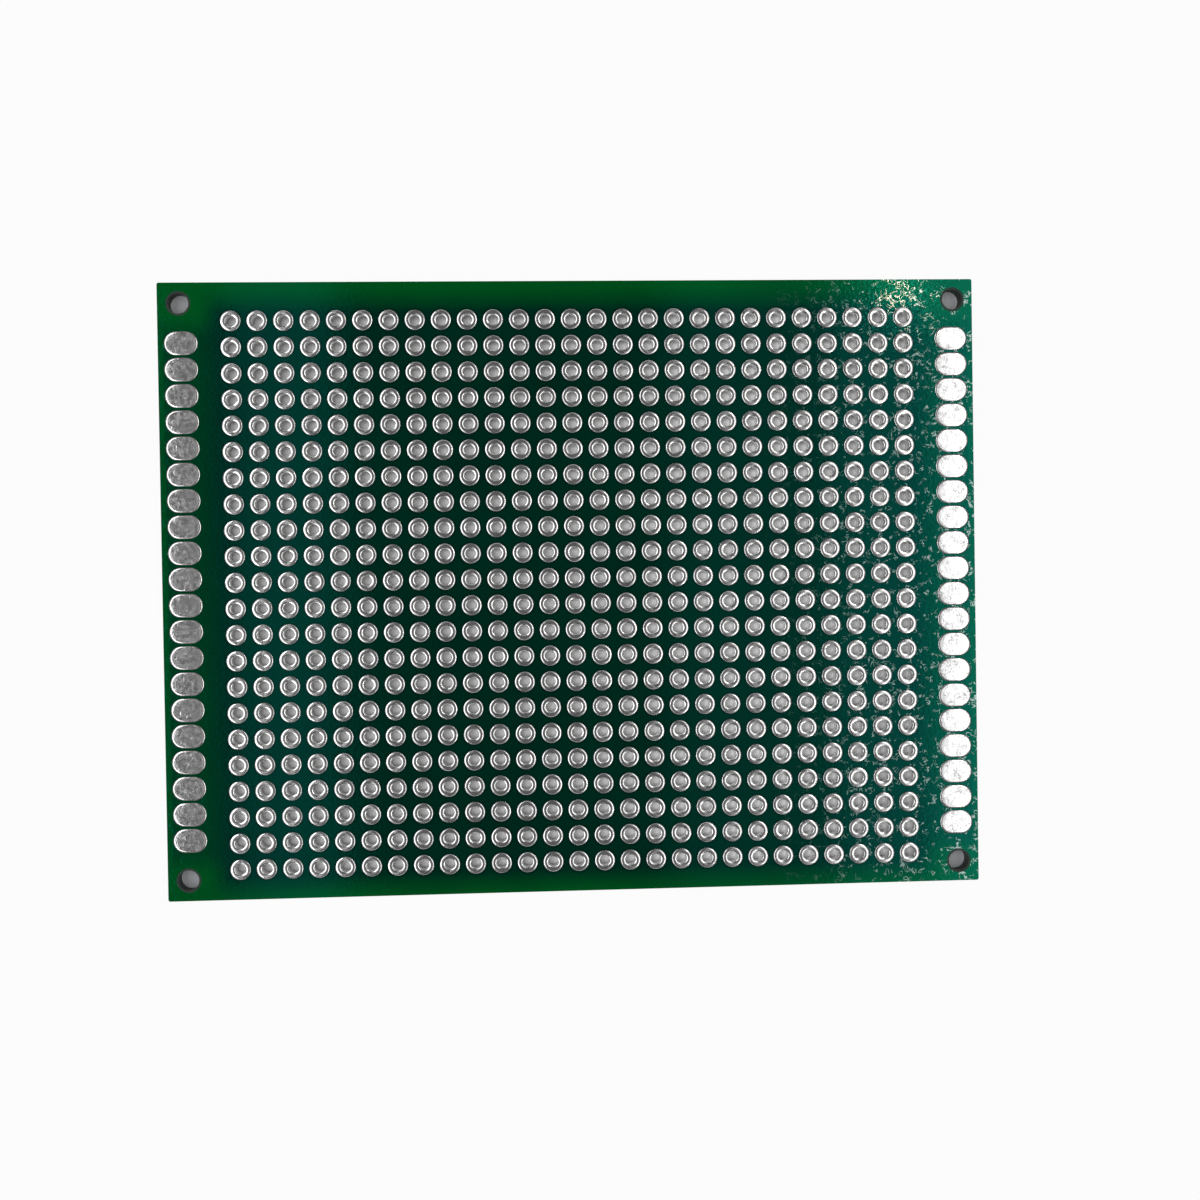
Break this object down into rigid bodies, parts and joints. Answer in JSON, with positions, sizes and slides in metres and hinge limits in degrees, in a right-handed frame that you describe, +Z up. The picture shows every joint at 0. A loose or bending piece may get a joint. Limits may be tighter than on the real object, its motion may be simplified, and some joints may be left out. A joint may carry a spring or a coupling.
{
  "type": "prototype circuit board",
  "caption": "Bare green double-sided prototype circuit board: a grid of tinned plated holes, oblong tinned pads along both short edges and a mounting hole in each corner.",
  "frame": {"origin": "middle of the board's outline, in the plane of the lowest faces of the bottom edge pads", "axes": "+X along the long side, +Y along the short side towards the back edge, +Z up through the board"},
  "size_m": [0.08, 0.06, 0.0016],
  "materials": {
    "laminate": "glass-epoxy laminate, satin at the cut edge",
    "solder_mask": "glossy green solder mask",
    "tinned_copper": "bright hot-dipped tin, slightly uneven"
  },
  "bodies": {
    "root": {"substrate": "laminate", "top_solder_mask": "solder_mask", "bottom_solder_mask": "solder_mask", "plated_holes_row_01": "tinned_copper", "plated_holes_row_02": "tinned_copper", "plated_holes_row_03": "tinned_copper", "plated_holes_row_04": "tinned_copper", "plated_holes_row_05": "tinned_copper", "plated_holes_row_06": "tinned_copper", "plated_holes_row_07": "tinned_copper", "plated_holes_row_08": "tinned_copper", "plated_holes_row_09": "tinned_copper", "plated_holes_row_10": "tinned_copper", "plated_holes_row_11": "tinned_copper", "plated_holes_row_12": "tinned_copper", "plated_holes_row_13": "tinned_copper", "plated_holes_row_14": "tinned_copper", "plated_holes_row_15": "tinned_copper", "plated_holes_row_16": "tinned_copper", "plated_holes_row_17": "tinned_copper", "plated_holes_row_18": "tinned_copper", "plated_holes_row_19": "tinned_copper", "plated_holes_row_20": "tinned_copper", "plated_holes_row_21": "tinned_copper", "plated_holes_row_22": "tinned_copper", "top_left_edge_pads": "tinned_copper", "top_right_edge_pads": "tinned_copper", "bottom_left_edge_pads": "tinned_copper", "bottom_right_edge_pads": "tinned_copper"}
  },
  "joints": []
}
